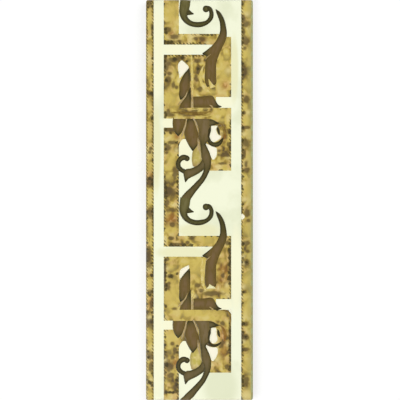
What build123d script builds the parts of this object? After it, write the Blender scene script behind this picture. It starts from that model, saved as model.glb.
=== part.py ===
from build123d import *
import os

# Glazed ceramic border tile: one slab, dust-pressed and fired in one piece.
# It lies face up on its back. X runs across the border, Y along it and Z up through the thickness.
# The origin is the middle of the back, on the plane of the key lands. All sizes are millimetres.

# Slab
tile_length = 300.0
tile_width = 80.0
tile_thickness = 8.0
face_edge_radius = 0.9  # rounded edge where the glazed face turns over into the sides
corner_ease = 0.6  # how much wider the corners are rounded in plan than the face edge is
side_land_height = 3.4  # upright band of each side, which meets the neighbouring tile's joint
side_setback = 0.6  # how far the back's outline stands in from the side lands, per side

# Keyed back: a rim and ribs in one plane, around shallow pockets that grip the adhesive
key_depth = 0.8
key_draft = 30.0  # degrees that a pocket's walls lean away from upright, so the punch lets go
key_rim = 6.0
key_rib = 4.0
key_pitch = 24.0  # spacing aimed at, from one rib to the next
key_corner_radius = 2.5

# Worked out from the sizes above
corner_radius = face_edge_radius + corner_ease
taper_height = tile_thickness - face_edge_radius - side_land_height
back_width = tile_width - 2 * side_setback
back_length = tile_length - 2 * side_setback


def key_row(back_size):
    """Count, pocket size and pitch of the pockets that share one side of the back evenly."""
    field = back_size - 2 * key_rim
    count = max(1, round((field + key_rib) / key_pitch))
    pocket = (field - (count - 1) * key_rib) / count
    return count, pocket, pocket + key_rib


def pressed_slab():
    """Slab with upright side lands, sides that taper in to the back and a rounded face edge."""
    with BuildPart() as slab:
        with BuildSketch(Plane.XY):
            RectangleRounded(back_width, back_length, corner_radius)
        with BuildSketch(Plane.XY.offset(taper_height)) as land:
            RectangleRounded(tile_width, tile_length, corner_radius)
        loft(ruled=True)
        extrude(land.sketch, amount=tile_thickness - taper_height)
        fillet(slab.edges().group_by(Axis.Z)[-1], radius=face_edge_radius)
    return slab.part


def key_pockets():
    """Grid of drafted pockets, pressed up into the back and narrower at their floors."""
    columns, pocket_width, column_pitch = key_row(back_width)
    rows, pocket_length, row_pitch = key_row(back_length)
    with BuildPart() as pockets:
        with BuildSketch(Plane.XY):
            with GridLocations(column_pitch, row_pitch, columns, rows):
                RectangleRounded(pocket_width, pocket_length, key_corner_radius)
        extrude(amount=key_depth, taper=key_draft)
    return pockets.part


border_tile = pressed_slab() - key_pockets()

os.makedirs("parts", exist_ok=True)
export_step(border_tile, "parts/border_tile.step")
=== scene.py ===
"""Glazes, scroll ornament and studio stage for a ceramic border tile, built around its packed slab."""

import math
from typing import NamedTuple

import bpy
import numpy as np
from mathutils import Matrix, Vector


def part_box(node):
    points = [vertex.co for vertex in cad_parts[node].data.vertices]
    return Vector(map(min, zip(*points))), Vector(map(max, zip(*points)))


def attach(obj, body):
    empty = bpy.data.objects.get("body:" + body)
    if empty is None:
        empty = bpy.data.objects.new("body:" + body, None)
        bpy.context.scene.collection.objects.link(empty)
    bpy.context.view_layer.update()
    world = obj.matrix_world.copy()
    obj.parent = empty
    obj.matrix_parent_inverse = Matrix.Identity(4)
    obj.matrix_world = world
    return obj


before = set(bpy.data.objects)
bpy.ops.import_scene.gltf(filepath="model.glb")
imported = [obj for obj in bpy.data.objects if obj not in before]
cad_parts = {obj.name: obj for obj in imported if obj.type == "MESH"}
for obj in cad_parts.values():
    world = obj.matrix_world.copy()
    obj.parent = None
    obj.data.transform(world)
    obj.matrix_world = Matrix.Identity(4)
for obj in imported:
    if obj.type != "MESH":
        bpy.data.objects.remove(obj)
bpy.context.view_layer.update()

bl_info = {
    "name": "Border tile glazes",
    "version": (1, 0, 0),
    "blender": (4, 5, 0),
    "location": "3D View > Sidebar > Border tile",
    "description": "Glazes a ceramic border tile and lays its gold key and brown scroll on the face",
    "category": "Object",
}

# The ornament is worked out in millimetres and put into the meshes in metres.
MM = 0.001
SLAB = "border_tile"
BODY = "root"

slab_low, slab_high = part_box(SLAB)
HALF_WIDTH = (slab_high.x - slab_low.x) / 2 / MM
HALF_LENGTH = (slab_high.y - slab_low.y) / 2 / MM
FACE_HEIGHT = slab_high.z / MM

# The ornament comes twice, the second time a little later than at half the tile and its bowl a
# little earlier.
REPEATS = 2
REPEAT_STEP = 151.5
BOWL_STEP = 148.5
END_SQUEEZE = 2.5  # last stretch of the tile, in which a layer that would reach over the end is shortened

# Grid of one leaf or stroke, and the blunt width that a pointed tip ends in
LEAF_ROWS = 72
LEAF_COLUMNS = 13
BALL_ROWS = 24
TIP_WIDTH = 0.1
OVERLAP_STEP = 0.04  # share of the relief that each overlapping sheet of a layer lies lower
MARBLE_STEP = 0.75  # spacing of the gold's grid lines, fine enough to carry its blotches and spots
BEAD_STEP = 2.5  # spacing of the dark beads along the outlines
WIDE = 99.0  # a width or a reach beyond all others, as of what is nowhere slim
EDGE_TURNS = 7  # grid lines round the slab's rounded face edge
KEY_SHOULDER_SHARES = (0.0, 0.3, 1.0)  # grid lines over a shoulder of the key, as shares of its width
BAND_SHOULDER_SHARES = (0, 0.1, 0.3, 0.6, 1.0)  # the same on the bands
BAND_END = 3.0  # stretch at each end of a band that has the face edge's lines in place of the even ones
GRID_DIGITS = 3  # decimals to which two grid lines have to agree to count as one
NEXT_TO_NOTHING = 1e-9  # stands in for a length of 0 where one is divided by
SHARP_ANGLE = math.radians(50)  # turn of the surface from which an edge is shaded as a sharp one

# Glazes: their roughness, from the glossiest to the bare clay, the share of its colour that a blotch takes
# on, and the radians that the wave texture's slanting bands gain over one unit
GLOSSY = 0.2
GLEAMING = 0.22
SATIN = 0.25
MATT = 0.9
BLOTCH_STRENGTH = 0.85
WAVE_RATE = 10

# Stage: the lamps' places and side in metres, the gap under the tile in millimetres, and white light
KEY_LAMP_PLACE = (-0.45, -0.35, 0.8)
FILL_LAMP_PLACE = (0.5, 0.45, 0.75)
LAMP_SIZE = 0.6
FLOOR_GAP = 0.02
WHITE = (1, 1, 1, 1)

# Every point below is (across, down) in millimetres on one repeat of the ornament: across from the
# tile's middle line to the right, and down from the repeat's far end. A leaf has a left and a right
# edge of as many points each. A stroke's points have its half width as a third number.

# Uprights and levels that the gold key is set out on
PANEL_LEFT = -26.8
NOTCH_LEFT = -20.0
BAR_RIGHT = -15.4
STEM_GAP = 0.4
BLOCK_LEFT = 3.8
POST_LEFT = 12.4
HORN_MIDDLE = 18.0
PANEL_RIGHT = 23.8
FOOT_TOP = 25.4
CHANNEL_TOP = 33.5
BLOCK_TOP = 41.0
STEP_TOP = 72.8
STEP_BOTTOM = 80.9
BAND_BOTTOM = 89.0
BAR_TOP = 95.7
POCKET_TOP = 104.3
KEY_BOTTOM = 128.0

# Level at which the foot of the key starts on the right of the horn, in each repeat
FOOT_RIGHT_TOPS = (27.6, FOOT_TOP)

# Rectangles of the key as (left, right, top, bottom). The upright bar reaches into the next repeat.
KEY_RECTANGLES = (
    (PANEL_LEFT, BAR_RIGHT, BAR_TOP, REPEAT_STEP + CHANNEL_TOP),
    (PANEL_LEFT, HORN_MIDDLE, FOOT_TOP, CHANNEL_TOP),
    (POST_LEFT, PANEL_RIGHT, CHANNEL_TOP, BLOCK_TOP),
    (PANEL_LEFT, PANEL_RIGHT, BLOCK_TOP, STEP_TOP),
    (PANEL_LEFT, POST_LEFT, STEP_TOP, STEP_BOTTOM),
    (PANEL_LEFT, PANEL_RIGHT, STEP_BOTTOM, BAND_BOTTOM),
    (NOTCH_LEFT, PANEL_RIGHT, BAND_BOTTOM, BAR_TOP),
    (PANEL_LEFT, STEM_GAP, BAR_TOP, POCKET_TOP),
    (BLOCK_LEFT, PANEL_RIGHT, BAR_TOP, KEY_BOTTOM),
)

HORN_LEAVES = {
    "barb": (
        ((9.2, 34.4), (5.6, 37.4), (2.1, 39.9)),
        ((6.6, 42.6), (4.9, 42.0), (2.3, 40.7)),
    ),
    "horn": (
        ((12.0, 6.8), (12.6, 9.4), (13.9, 12.8), (15.1, 16.5), (15.5, 21.0), (15.3, 24.0), (14.2, 27.0),
         (12.4, 30.4), (10.0, 33.5), (7.5, 36.5), (6.2, 39.0), (5.2, 42.8), (4.4, 47.3), (4.0, 54.0),
         (3.8, 59.5), (4.4, 62.8), (5.7, 65.4)),
        ((12.2, 6.8), (14.8, 8.4), (16.9, 11.1), (18.5, 14.2), (19.6, 18.0), (20.3, 21.8), (20.6, 25.5),
         (20.2, 28.5), (19.1, 31.7), (17.4, 35.3), (15.6, 39.2), (13.9, 43.5), (12.8, 47.3), (12.7, 54.0),
         (12.7, 58.5), (12.9, 61.0), (12.4, 63.2)),
    ),
}

# The blade is slim at its tip in the first repeat and broad in the second.
BLADES = (
    (
        ((-8.0, 51.0), (-9.4, 52.7), (-11.3, 54.9), (-13.7, 59.3), (-15.1, 62.6), (-15.2, 67.5),
         (-15.5, 71.6), (-14.6, 74.7)),
        ((-7.7, 51.0), (-7.2, 52.6), (-7.0, 55.0), (-7.0, 59.5), (-7.0, 63.5), (-7.1, 67.4),
         (-9.3, 71.4), (-14.1, 75.1)),
    ),
    (
        ((-7.7, 49.8), (-9.2, 51.3), (-12.0, 54.4), (-14.7, 58.4), (-15.3, 62.0), (-15.3, 67.0),
         (-15.5, 71.6), (-14.6, 74.7)),
        ((-7.4, 49.8), (-7.0, 51.5), (-6.8, 55.0), (-6.8, 59.5), (-6.8, 63.5), (-7.1, 67.4),
         (-9.3, 71.4), (-14.1, 75.1)),
    ),
)
BLADE_FEET = {
    "heel": (
        ((-7.2, 65.8), (-9.2, 69.8), (-11.0, 72.7), (-12.9, 75.6), (-14.4, 78.4), (-15.1, 80.9)),
        ((-6.4, 65.8), (-6.3, 69.8), (-6.2, 72.7), (-6.2, 75.6), (-6.2, 78.4), (-6.2, 80.9)),
    ),
    "base": (
        ((-4.6, 72.3), (2.6, 72.2), (10.6, 72.5), (12.4, 75.8), (14.1, 78.5), (16.7, 79.8)),
        ((-4.6, 80.9), (2.6, 80.9), (8.6, 80.9), (11.3, 80.9), (13.9, 80.9), (16.6, 80.3)),
    ),
}

TULIP_LEAVES = {
    "centre lobe": (
        ((-9.0, 89.1), (-10.0, 93.0), (-11.1, 96.8), (-11.5, 100.5), (-10.1, 105.0), (-8.0, 109.2),
         (-5.4, 113.2)),
        ((-4.6, 89.1), (-2.6, 92.3), (-1.2, 95.6), (-0.5, 99.8), (0.3, 104.3), (-1.4, 109.0),
         (-4.6, 113.2)),
    ),
    "left lobe": (
        ((-20.0, 89.1), (-20.2, 93.0), (-19.7, 96.4), (-18.5, 99.4), (-16.4, 102.0)),
        ((-9.4, 89.1), (-10.5, 93.0), (-11.7, 96.5), (-13.3, 99.4), (-15.8, 102.2)),
    ),
}

STEM_LEAVES = {
    "right point": (
        ((7.4, 89.3), (9.8, 89.6), (12.4, 91.0), (15.1, 92.3)),
        ((7.4, 95.0), (9.0, 94.6), (11.2, 93.9), (15.1, 92.6)),
    ),
    "stem": (
        ((-3.9, 89.1), (-2.2, 92.3), (-0.8, 96.0), (-0.4, 100.5), (0.1, 105.0), (0.4, 108.0), (0.8, 111.8),
         (1.1, 115.5), (1.5, 118.9), (2.6, 122.3), (3.2, 126.0), (2.6, 129.2), (0.8, 132.7), (-3.1, 137.0),
         (-6.9, 140.8), (-10.5, 144.2), (-13.1, 147.2), (-14.8, 150.0)),
        ((9.0, 89.1), (8.9, 92.3), (8.9, 96.0), (8.1, 100.5), (7.2, 104.5), (5.0, 107.6), (6.3, 111.1),
         (7.9, 114.8), (8.8, 118.5), (8.8, 123.0), (7.9, 127.3), (6.3, 131.0), (4.2, 135.0), (0.8, 139.5),
         (-2.8, 144.0), (-5.5, 147.8), (-6.3, 149.0), (-6.7, 150.0)),
    ),
    "curl leaf": (
        ((2.6, 118.4), (-0.2, 122.8), (-3.2, 124.8), (-6.6, 126.3), (-10.1, 127.0), (-12.0, 129.6),
         (-11.5, 133.4), (-10.8, 136.7)),
        ((5.0, 124.6), (2.6, 127.8), (0.2, 129.6), (-3.2, 131.6), (-6.6, 133.2), (-8.3, 134.3),
         (-9.3, 135.5), (-10.2, 136.7)),
    ),
}

CURL_STROKES = {
    "keyhole lip": ((13.6, 95.2, 0.3), (14.1, 97.4, 1.0), (14.6, 99.8, 0.9), (15.4, 101.5, 0.2)),
    "left curl": ((-9.2, 118.4, 1.8), (-12.2, 118.1, 2.1), (-14.8, 119.8, 1.9), (-16.0, 122.5, 1.8),
                  (-15.5, 125.4, 1.8), (-13.3, 127.6, 1.7), (-10.5, 129.0, 1.8)),
}
# The hook under the keyhole is full and long in the first repeat, and thin and short in the second.
HOOKS = (
    ((6.5, 102.0, 1.1), (7.0, 105.0, 1.5), (8.6, 107.4, 1.7), (11.4, 108.5, 1.8), (14.1, 108.0, 1.8),
     (16.0, 106.2, 1.4), (17.2, 104.4, 0.9), (18.0, 102.8, 0.3)),
    ((6.5, 102.0, 1.1), (7.0, 104.6, 1.2), (8.2, 106.7, 1.2), (10.6, 107.7, 1.2), (13.2, 107.3, 1.1),
     (15.0, 106.2, 0.8), (16.4, 105.0, 0.3)),
)
# Dark cheek of the stem on the left of the keyhole
CHEEK_STROKE = ((8.2, 94.8, 0.2), (7.6, 97.2, 1.2), (7.2, 99.6, 1.0), (6.6, 102.4, 0.8), (6.8, 104.6, 0.2))
CURL_BALL = (-9.4, 118.8, 2.1)

# The bowl of the scroll starts where the stem crosses from one repeat, or one tile, into the next.
BOWL_STROKE = ((-10.5, 0.0, 3.9), (-11.2, 5.3, 3.8), (-11.9, 9.2, 3.3), (-11.3, 13.1, 2.5),
               (-8.3, 16.6, 2.1), (-3.4, 18.4, 2.0), (1.1, 18.3, 2.0), (5.9, 16.5, 1.6), (8.7, 12.9, 1.7),
               (8.9, 9.2, 1.6), (7.3, 6.3, 1.6), (5.6, 5.8, 1.6))
BOWL_BALL = (4.9, 6.7, 2.5)
BOWL_SPUR = (
    ((-8.6, 6.0), (-6.3, 8.6), (-4.2, 10.2)),
    ((-9.6, 11.6), (-7.0, 11.2), (-4.3, 10.8)),
)

# Leaves that sprout from another one, so that they have no rim where they start
SPROUTING = ("barb", "right point", "curl leaf")

# Cream petals of each repeat. The kite beside the blade is broad in the first and a narrow slant in
# the second, in which the gold's corner under the notch is cut off and the right band is bitten into.
PETALS = (
    {
        "keyhole": (
            ((8.0, 94.2), (8.4, 95.6), (8.4, 98.8), (7.5, 101.2), (7.4, 103.0), (8.1, 105.0), (10.2, 106.6)),
            ((14.0, 94.2), (13.0, 95.8), (13.0, 98.8), (14.2, 101.0), (16.4, 102.3), (14.9, 104.6),
             (11.4, 106.6)),
        ),
        "drop": (
            ((4.0, 107.2), (5.1, 109.6), (5.8, 111.6), (7.0, 114.0), (8.2, 116.8), (9.6, 119.8)),
            ((4.4, 107.1), (9.0, 109.5), (12.6, 110.9), (13.2, 113.6), (12.9, 116.8), (11.0, 119.9)),
        ),
        "kite": (
            ((-13.7, 45.2), (-15.9, 47.6), (-16.2, 51.0), (-15.6, 55.5), (-15.1, 59.0)),
            ((-12.9, 45.2), (-10.2, 47.6), (-8.0, 50.3), (-11.1, 54.8), (-14.8, 59.0)),
        ),
    },
    {
        "keyhole": (
            ((8.6, 94.2), (8.3, 96.6), (8.3, 99.0), (7.4, 100.6), (7.3, 102.6), (8.0, 104.6), (9.9, 106.2)),
            ((12.6, 94.2), (12.9, 96.6), (13.0, 99.0), (13.3, 100.8), (13.7, 102.4), (13.0, 104.6),
             (11.2, 106.2)),
        ),
        "drop": (
            ((3.7, 106.8), (4.9, 109.4), (5.7, 111.8), (7.1, 114.4), (8.2, 117.0), (9.3, 119.4)),
            ((4.1, 106.7), (9.0, 108.8), (13.2, 109.4), (13.8, 112.8), (12.6, 116.4), (10.4, 119.5)),
        ),
        "kite": (
            ((-8.2, 47.2), (-11.6, 48.9), (-14.1, 50.4), (-15.0, 52.8), (-15.1, 55.4), (-14.9, 57.8)),
            ((-7.8, 47.4), (-7.6, 49.6), (-8.9, 51.8), (-11.2, 54.2), (-13.2, 56.4), (-14.7, 58.0)),
        ),
        "cut corner": (
            ((20.9, 80.4), (21.8, 81.5), (22.9, 82.8), (24.1, 84.6)),
            ((24.2, 80.4), (24.2, 81.6), (24.3, 82.9), (24.4, 84.6)),
        ),
        "bite": (
            ((31.6, 8.6), (31.2, 10.2), (31.2, 11.8), (31.6, 13.4)),
            ((32.2, 8.6), (33.8, 10.2), (34.0, 11.6), (32.2, 13.4)),
        ),
    },
)

# Gold that fills the corner of the pocket beside the tulip
POCKET_CORNER = (
    ((-16.2, 103.6), (-16.2, 105.8), (-16.2, 109.8)),
    ((-11.8, 103.6), (-14.0, 106.0), (-15.6, 109.6)),
)

# Gold tongue between the leaves, a little broader in the second repeat
TONGUES = (
    (
        ((-1.8, 103.5), (-2.6, 107.0), (-3.6, 110.0), (-4.9, 112.8), (-5.6, 116.3), (-5.8, 120.0),
         (-5.0, 124.6)),
        ((0.9, 103.5), (1.1, 107.0), (1.3, 110.0), (1.6, 112.8), (2.0, 116.3), (2.0, 120.0), (-2.2, 125.8)),
    ),
    (
        ((-1.8, 103.5), (-2.6, 107.0), (-4.1, 110.0), (-6.2, 112.8), (-7.2, 116.3), (-7.2, 120.0),
         (-6.2, 125.2)),
        ((0.9, 103.5), (1.1, 107.0), (1.3, 110.0), (1.6, 112.8), (2.0, 116.3), (2.0, 120.0), (-2.0, 127.0)),
    ),
)

# Brown shadows on the gold: the ring round the keyhole, the second repeat's cut corner, and the
# crease along the first repeat's band
RING_STROKE = ((14.3, 91.9, 0.4), (16.9, 93.8, 0.9), (18.5, 97.2, 1.3), (19.2, 101.0, 1.3),
               (18.3, 104.6, 0.5))
CORNER_STROKE = ((15.8, 81.2, 0.2), (18.8, 81.3, 0.6), (21.2, 82.4, 0.9), (22.6, 84.4, 1.0),
                 (23.1, 87.4, 0.8), (23.3, 92.4, 0.4))
CREASE_STROKE = ((-22.0, 84.2, 0.3), (-14.0, 84.6, 1.0), (-6.0, 85.2, 1.5), (2.0, 85.0, 1.4),
                 (8.6, 83.5, 0.3))

# Light fork between the two tips of the horn, in each repeat
FORKS = (
    (
        ((6.6, 59.0), (6.8, 61.4), (7.2, 64.0), (8.4, 66.4)),
        ((6.9, 59.0), (8.6, 61.2), (10.2, 63.2), (12.4, 65.0)),
    ),
    (
        ((7.2, 61.4), (6.9, 62.6), (5.8, 64.0), (4.2, 65.4)),
        ((7.6, 61.4), (9.0, 62.4), (10.9, 63.4), (12.8, 65.0)),
    ),
)

VEIN_STROKES = {
    "left tulip gap": ((-9.8, 89.1, 0.5), (-10.4, 93.4, 0.7), (-11.4, 96.6, 0.8), (-12.6, 100.2, 0.8),
                       (-13.3, 102.8, 0.3)),
    "right tulip gap": ((-4.9, 88.3, 0.5), (-3.0, 92.0, 0.7), (-1.8, 95.6, 0.6), (-1.1, 99.4, 0.2)),
    "tongue vein": ((-1.2, 102.6, 0.2), (-1.0, 106.0, 0.6), (-0.7, 109.5, 0.7), (0.1, 113.0, 0.6),
                    (0.6, 116.0, 0.2)),
    "horn vein": ((9.0, 40.1, 0.2), (6.4, 42.4, 0.5), (4.5, 44.6, 0.2)),
    "blade vein": ((-8.9, 67.6, 0.3), (-9.8, 70.9, 0.7), (-12.2, 74.4, 0.8), (-14.4, 77.0, 0.8),
                   (-16.4, 79.0, 0.2)),
    "heel gap": ((-5.4, 71.0, 0.3), (-5.4, 75.5, 0.7), (-5.4, 80.9, 0.7)),
    "base vein": ((6.8, 78.4, 0.2), (8.4, 79.2, 0.7), (10.4, 80.9, 0.9)),
}

# Pale lines in the gold of each repeat: beside the blade, on the left of the horn, and along the band
PALE_STROKES = (
    (
        ((-6.0, 41.6, 0.5), (-5.8, 50.0, 1.0), (-5.4, 60.0, 1.1), (-5.3, 71.0, 0.4)),
        ((3.4, 48.5, 0.3), (1.4, 54.0, 1.1), (1.0, 60.0, 1.2), (3.4, 65.8, 1.2), (8.2, 69.6, 0.6)),
        ((-13.5, 81.6, 0.2), (-4.0, 82.0, 0.4), (7.0, 81.6, 0.2)),
        ((-6.5, 87.6, 0.2), (2.0, 87.7, 0.4), (10.5, 86.4, 0.3)),
    ),
    (
        ((-4.9, 65.0, 0.3), (-4.8, 68.0, 1.0), (-4.9, 71.5, 0.6)),
        ((2.4, 42.5, 0.4), (2.0, 49.0, 1.1), (2.2, 57.0, 1.2), (3.2, 63.0, 1.0), (5.6, 66.4, 0.5)),
    ),
)

# Blotches of the marbled gold on the whole tile, each group from the far end on:
# (across, down from the far end, reach across, reach down)
BURNT_BLOTCHES = (
    # On the left band
    (-37.4, 2.8, 3.2, 3.6), (-35.4, 23.0, 1.2, 6.0), (-35.0, 43.5, 1.4, 1.4), (-35.2, 70.5, 1.4, 2.4),
    (-35.4, 88.5, 1.6, 2.4), (-36.6, 111.5, 1.6, 1.6), (-37.4, 114.2, 1.6, 1.6), (-37.0, 136.5, 3.4, 5.0),
    (-37.0, 160.0, 3.4, 4.6), (-37.9, 193.5, 2.8, 9.5), (-36.0, 206.5, 1.8, 1.6), (-36.5, 219.5, 2.6, 2.6),
    (-35.8, 228.0, 1.8, 4.0), (-36.0, 241.0, 1.8, 2.0), (-37.5, 266.5, 2.6, 4.0), (-36.5, 275.0, 2.0, 5.0),
    (-37.2, 287.0, 2.0, 1.6),
    # On the right band
    (32.8, 14.5, 1.8, 4.0), (35.0, 18.0, 3.4, 3.6), (33.0, 23.5, 1.6, 4.0), (34.2, 30.5, 3.8, 4.4),
    (33.8, 35.8, 1.8, 1.8), (33.0, 53.0, 2.8, 4.6), (35.2, 74.6, 3.4, 3.0), (33.4, 84.5, 1.6, 1.6),
    (35.0, 95.6, 4.2, 1.6), (35.2, 107.4, 4.2, 4.2), (33.2, 115.5, 1.8, 4.0), (35.0, 123.0, 1.6, 3.2),
    (35.0, 127.5, 3.6, 2.2), (35.6, 160.0, 2.4, 4.0), (36.8, 165.2, 1.8, 1.8), (35.0, 182.5, 3.6, 2.4),
    (36.2, 188.6, 2.0, 1.6), (36.0, 196.5, 2.0, 2.6), (34.0, 219.0, 2.4, 1.6), (34.4, 243.0, 3.2, 2.2),
    (35.0, 252.4, 2.4, 2.4), (35.0, 262.0, 4.2, 1.8), (34.4, 285.5, 4.0, 4.6),
    # On the key in the first repeat
    (-24.0, 22.4, 3.2, 2.6), (-18.6, 27.4, 4.0, 2.6), (-3.0, 29.0, 2.5, 1.5), (2.0, 29.5, 3.0, 2.0),
    (-15.0, 31.0, 2.0, 1.6), (-22.0, 31.6, 7.0, 2.0), (-13.0, 43.5, 3.0, 2.0), (-20.0, 44.8, 4.4, 2.2),
    (-1.5, 45.6, 3.2, 1.8), (-23.6, 47.5, 2.6, 4.0), (-25.3, 49.0, 2.2, 8.0), (-1.3, 51.4, 1.8, 1.6),
    (-22.5, 55.1, 2.0, 1.6), (-2.5, 59.0, 2.0, 3.4), (-23.5, 59.5, 3.0, 3.4), (-19.4, 63.6, 1.6, 3.4),
    (-17.4, 65.6, 1.6, 1.6), (0.0, 66.8, 2.8, 2.4), (20.5, 74.0, 2.0, 2.0), (-3.0, 82.2, 3.0, 1.4),
    (4.5, 82.2, 2.6, 1.4), (-24.0, 84.5, 2.4, 2.6), (-8.0, 85.0, 12.0, 2.5), (-22.0, 86.2, 5.0, 2.0),
    (-22.5, 97.5, 5.0, 2.0), (18.6, 101.5, 2.4, 3.2), (-21.0, 107.0, 4.0, 1.6), (21.8, 108.4, 1.8, 1.8),
    (-24.2, 110.6, 3.0, 4.4), (14.6, 113.0, 1.8, 1.6), (-24.7, 114.4, 1.6, 1.4), (18.4, 116.2, 5.6, 1.8),
    (17.0, 122.5, 4.0, 1.2), (-18.4, 130.0, 2.2, 7.0), (-21.6, 144.0, 5.0, 4.2),
    # On the key in the second repeat
    (-24.5, 152.0, 2.0, 4.0), (-20.5, 157.5, 5.0, 2.0), (-20.2, 168.4, 2.4, 2.0), (-6.4, 178.7, 2.6, 1.8),
    (-21.4, 178.7, 2.4, 1.8), (-9.0, 181.9, 2.0, 1.4), (21.0, 182.0, 1.8, 2.4), (-16.5, 183.0, 6.0, 1.2),
    (-24.0, 194.6, 2.0, 1.6), (22.8, 197.0, 1.2, 14.0), (-26.0, 206.0, 1.2, 12.0), (17.6, 206.4, 1.8, 2.4),
    (-22.0, 207.0, 2.8, 1.8), (-23.2, 212.4, 1.8, 1.6), (-1.5, 214.0, 2.5, 2.0), (-23.7, 215.8, 2.4, 2.6),
    (1.5, 218.0, 2.4, 2.0), (9.4, 220.0, 9.0, 2.4), (-18.7, 231.4, 2.4, 1.4), (22.0, 235.0, 2.5, 3.0),
    (17.3, 242.6, 2.4, 2.0), (20.2, 253.6, 1.6, 1.6), (22.8, 255.0, 1.2, 22.0), (17.6, 256.8, 1.8, 2.4),
    (-20.2, 257.6, 2.0, 1.6), (16.8, 258.4, 1.8, 3.0), (15.4, 260.2, 1.6, 1.4), (-18.4, 263.5, 2.2, 3.0),
    (-20.2, 268.1, 2.2, 1.8), (-22.4, 275.2, 3.8, 4.0), (20.5, 275.5, 2.0, 2.4), (-21.5, 281.5, 3.0, 2.4),
    (-17.2, 286.0, 1.6, 4.4), (-21.5, 294.3, 6.0, 0.9),
)
RUSTY_BLOTCHES = (
    (-21.0, 25.5, 3.0, 3.0), (2.0, 30.5, 3.5, 2.0), (19.5, 64.0, 3.5, 3.5), (-16.5, 102.5, 3.0, 2.5),
    (18.0, 103.0, 2.4, 2.4), (-37.0, 134.0, 2.6, 5.0), (-21.0, 164.0, 5.0, 5.0), (18.0, 205.5, 3.8, 7.5),
    (-36.5, 226.5, 2.6, 4.0), (17.7, 256.0, 2.8, 12.0), (-18.0, 272.0, 3.0, 4.0),
)
BEADED_BLOTCHES = (
    (4.0, 25.5, 9.0, 2.5), (-14.0, 33.0, 16.0, 3.0), (-8.0, 41.0, 20.0, 3.0), (-25.0, 46.0, 9.0, 9.0),
    (23.8, 105.0, 3.0, 16.0), (-37.0, 150.0, 9.0, 900.0), (33.0, 150.0, 4.0, 900.0),
    (-15.5, 150.0, 3.0, 20.0), (-26.5, 150.0, 3.0, 20.0), (-18.0, 183.0, 11.0, 4.0),
    (-26.5, 198.0, 3.0, 10.0), (23.5, 218.0, 3.0, 56.0), (-26.5, 262.0, 3.0, 26.0),
    (-15.5, 290.0, 3.0, 16.0),
)
CALM_BLOTCHES = (
    # On the left band
    (-37.2, 14.0, 2.2, 7.0), (-36.8, 35.4, 2.4, 5.0), (-37.4, 55.0, 2.2, 8.0), (-37.6, 80.0, 2.2, 5.0),
    (-37.6, 100.0, 2.2, 8.0), (-37.2, 117.6, 2.2, 2.4), (-37.2, 125.0, 2.2, 4.0), (-37.2, 147.0, 2.2, 4.0),
    (-37.2, 173.0, 2.6, 7.0), (-37.2, 212.0, 2.6, 3.6), (-37.2, 253.0, 2.2, 7.0), (-36.2, 283.6, 2.2, 2.4),
    (-37.2, 296.0, 2.6, 4.0),
    # On the right band
    (36.0, 6.0, 4.0, 5.0), (35.5, 40.0, 5.0, 5.0), (34.0, 45.4, 2.2, 1.6), (36.0, 47.0, 2.4, 2.4),
    (35.5, 64.0, 4.0, 4.0), (36.0, 84.0, 2.4, 2.0), (35.5, 90.0, 4.0, 2.6), (34.6, 100.4, 4.2, 2.6),
    (36.0, 117.5, 2.4, 2.0), (35.5, 142.0, 4.5, 7.0), (33.5, 148.0, 2.5, 3.0), (32.6, 163.0, 1.6, 1.6),
    (35.5, 171.5, 5.0, 6.0), (34.4, 190.2, 2.4, 1.6), (35.5, 210.0, 5.0, 7.0), (35.5, 231.0, 5.0, 7.0),
    (34.0, 257.5, 4.0, 2.0), (35.5, 267.0, 3.0, 1.8), (35.5, 274.5, 5.0, 5.0), (35.5, 295.5, 5.0, 4.0),
    # On the key
    (-20.5, 8.0, 6.0, 12.0), (6.5, 30.5, 3.0, 2.0), (21.5, 31.0, 2.5, 3.5), (20.5, 42.5, 3.0, 3.0),
    (-6.7, 43.0, 2.6, 1.8), (-18.4, 54.6, 1.8, 3.4), (18.0, 56.0, 6.0, 15.0), (8.5, 69.0, 6.0, 2.2),
    (-20.5, 74.0, 6.0, 8.0), (17.5, 84.0, 6.0, 4.0), (17.0, 90.0, 4.0, 2.0), (-21.0, 121.0, 4.0, 8.0),
    (-23.5, 132.5, 3.5, 3.0), (-21.0, 171.0, 6.0, 5.0), (6.0, 180.5, 9.0, 5.0), (17.3, 195.4, 2.4, 2.4),
    (-4.0, 200.0, 12.0, 10.0), (-21.5, 201.0, 4.0, 3.0), (4.0, 209.0, 4.0, 5.0), (21.0, 216.0, 2.4, 5.0),
    (-20.0, 222.0, 8.0, 16.0), (0.0, 234.5, 24.0, 4.5), (-20.0, 254.0, 6.0, 10.0), (20.6, 258.0, 1.6, 3.0),
    (15.0, 268.0, 3.0, 2.5), (-25.2, 286.2, 1.6, 2.0),
)
# Blotches in which the gold is pale and has no beads, in the same way
LIGHT_BLOTCHES = (
    (35.3, 10.6, 2.4, 2.0), (-0.7, 26.2, 2.2, 1.2), (6.0, 32.0, 2.2, 1.2), (21.8, 52.9, 2.4, 2.2),
    (36.0, 84.4, 2.0, 1.8), (33.4, 100.6, 2.2, 1.8), (-17.2, 113.0, 1.6, 2.0), (21.8, 118.3, 2.0, 1.4),
    (32.8, 137.6, 1.8, 1.8), (33.6, 149.4, 3.4, 1.8), (32.8, 192.4, 1.6, 1.4), (32.8, 197.4, 1.6, 1.4),
    (-24.7, 201.4, 2.0, 1.8), (20.6, 214.0, 1.6, 1.8), (32.8, 214.9, 2.0, 2.0), (-3.7, 221.8, 2.0, 1.4),
    (21.8, 222.4, 2.0, 2.0), (-37.6, 238.0, 1.8, 1.8), (32.8, 256.1, 1.8, 1.6), (21.4, 257.8, 1.6, 1.8),
    (12.8, 269.6, 2.4, 2.0), (-26.0, 270.0, 1.8, 1.8), (-36.0, 284.6, 1.8, 1.4), (34.6, 296.8, 5.0, 3.8),
)
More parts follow.
